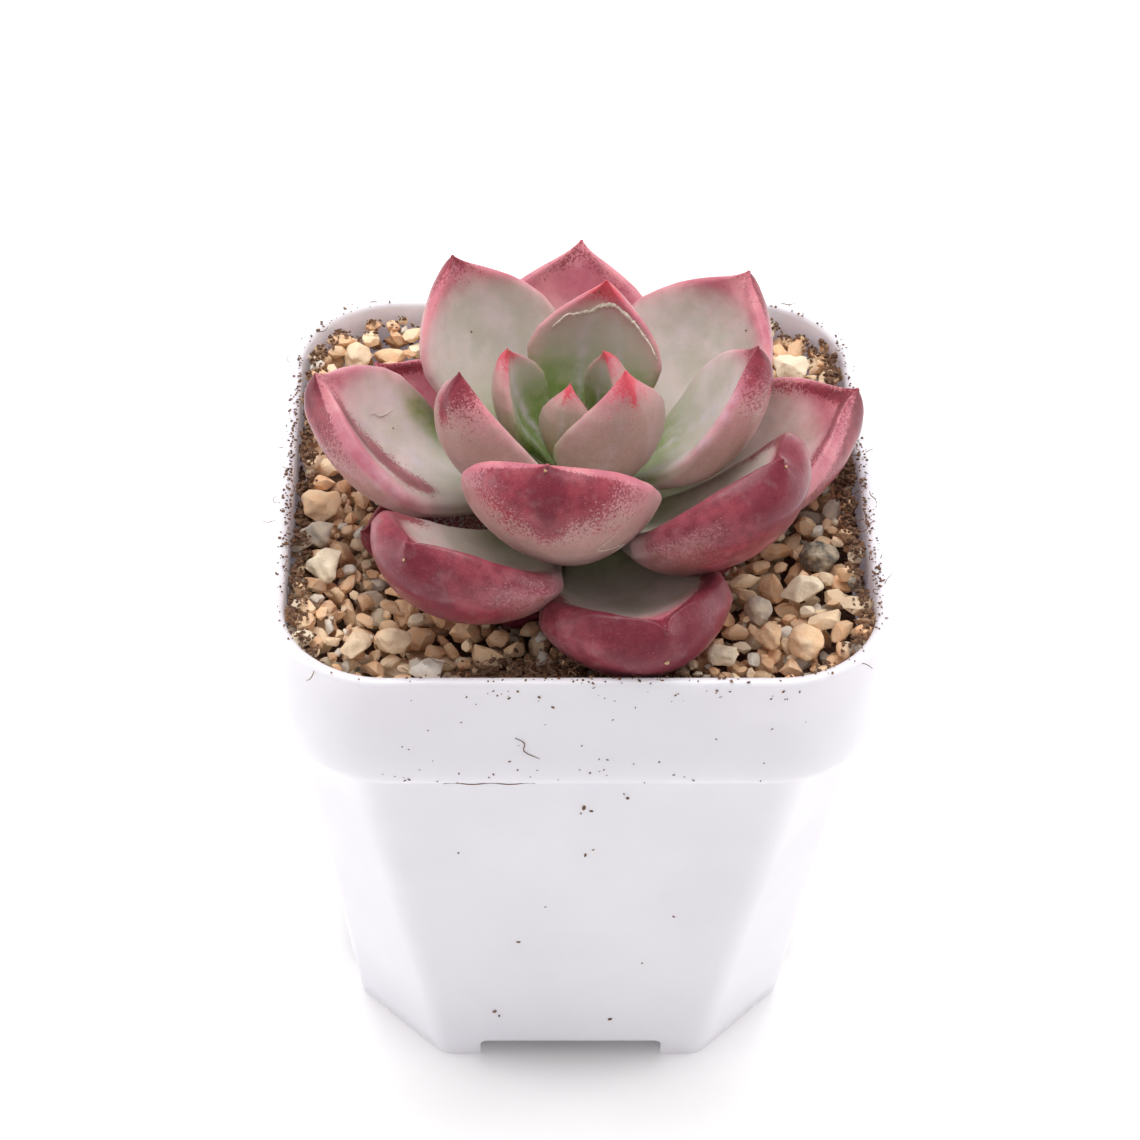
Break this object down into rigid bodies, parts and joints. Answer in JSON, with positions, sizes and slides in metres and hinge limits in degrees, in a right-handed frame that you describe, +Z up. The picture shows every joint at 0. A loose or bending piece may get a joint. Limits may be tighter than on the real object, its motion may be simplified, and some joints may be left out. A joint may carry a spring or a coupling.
{
  "type": "potted succulent",
  "caption": "Rosette succulent with thick pointed leaves, growing in a square white plastic nursery pot topped with chip gravel.",
  "frame": {"origin": "middle of the pot's footprint, on the surface it stands on", "axes": "+Z up out of the pot; X and Y square to the pot's sides, the front side faces -Y"},
  "size_m": [0.0706, 0.0706, 0.0993],
  "materials": {
    "pot": "satin white moulded plastic",
    "soil": "loose peat",
    "gravel": "dry chip gravel",
    "stem": "dull",
    "leaf_01": "waxy bloom",
    "leaf_02": "waxy bloom",
    "leaf_03": "waxy bloom",
    "leaf_04": "waxy bloom",
    "leaf_05": "waxy bloom",
    "leaf_06": "waxy bloom",
    "leaf_07": "waxy bloom",
    "leaf_08": "waxy bloom",
    "leaf_09": "waxy bloom",
    "leaf_10": "waxy bloom",
    "leaf_11": "waxy bloom",
    "leaf_12": "waxy bloom",
    "leaf_13": "waxy bloom",
    "leaf_14": "waxy bloom",
    "leaf_15": "waxy bloom",
    "leaf_16": "waxy bloom",
    "leaf_17": "waxy bloom",
    "leaf_18": "waxy bloom",
    "leaf_19": "waxy bloom",
    "leaf_20": "waxy bloom",
    "leaf_21": "waxy bloom",
    "leaf_22": "waxy bloom",
    "leaf_23": "waxy bloom",
    "leaf_24": "waxy bloom",
    "leaf_25": "waxy bloom",
    "stone_pale_right": "dry, dull",
    "stone_tan_right": "dry, dull",
    "stone_grey_right": "dry, dull",
    "stone_dark_right": "dry, dull",
    "stone_cream_front": "dry, dull",
    "stone_tan_front": "dry, dull",
    "stone_ribbed_left": "dry, dull",
    "stone_white_left": "dry, dull",
    "stone_sandy_left": "dry, dull",
    "stone_cream_left": "dry, dull",
    "stone_amber_left": "dry, dull",
    "stone_grey_left": "dry, dull",
    "stone_pale_back": "dry, dull",
    "stone_buff_back": "dry, dull"
  },
  "bodies": {
    "root": {"pot": "pot", "soil": "soil", "gravel": "gravel", "stem": "stem", "leaf_01": "leaf_01", "leaf_02": "leaf_02", "leaf_03": "leaf_03", "leaf_04": "leaf_04", "leaf_05": "leaf_05", "leaf_06": "leaf_06", "leaf_07": "leaf_07", "leaf_08": "leaf_08", "leaf_09": "leaf_09", "leaf_10": "leaf_10", "leaf_11": "leaf_11", "leaf_12": "leaf_12", "leaf_13": "leaf_13", "leaf_14": "leaf_14", "leaf_15": "leaf_15", "leaf_16": "leaf_16", "leaf_17": "leaf_17", "leaf_18": "leaf_18", "leaf_19": "leaf_19", "leaf_20": "leaf_20", "leaf_21": "leaf_21", "leaf_22": "leaf_22", "leaf_23": "leaf_23", "leaf_24": "leaf_24", "leaf_25": "leaf_25", "stone_pale_right": "stone_pale_right", "stone_tan_right": "stone_tan_right", "stone_grey_right": "stone_grey_right", "stone_dark_right": "stone_dark_right", "stone_cream_front": "stone_cream_front", "stone_tan_front": "stone_tan_front", "stone_ribbed_left": "stone_ribbed_left", "stone_white_left": "stone_white_left", "stone_sandy_left": "stone_sandy_left", "stone_cream_left": "stone_cream_left", "stone_amber_left": "stone_amber_left", "stone_grey_left": "stone_grey_left", "stone_pale_back": "stone_pale_back", "stone_buff_back": "stone_buff_back"}
  },
  "joints": []
}
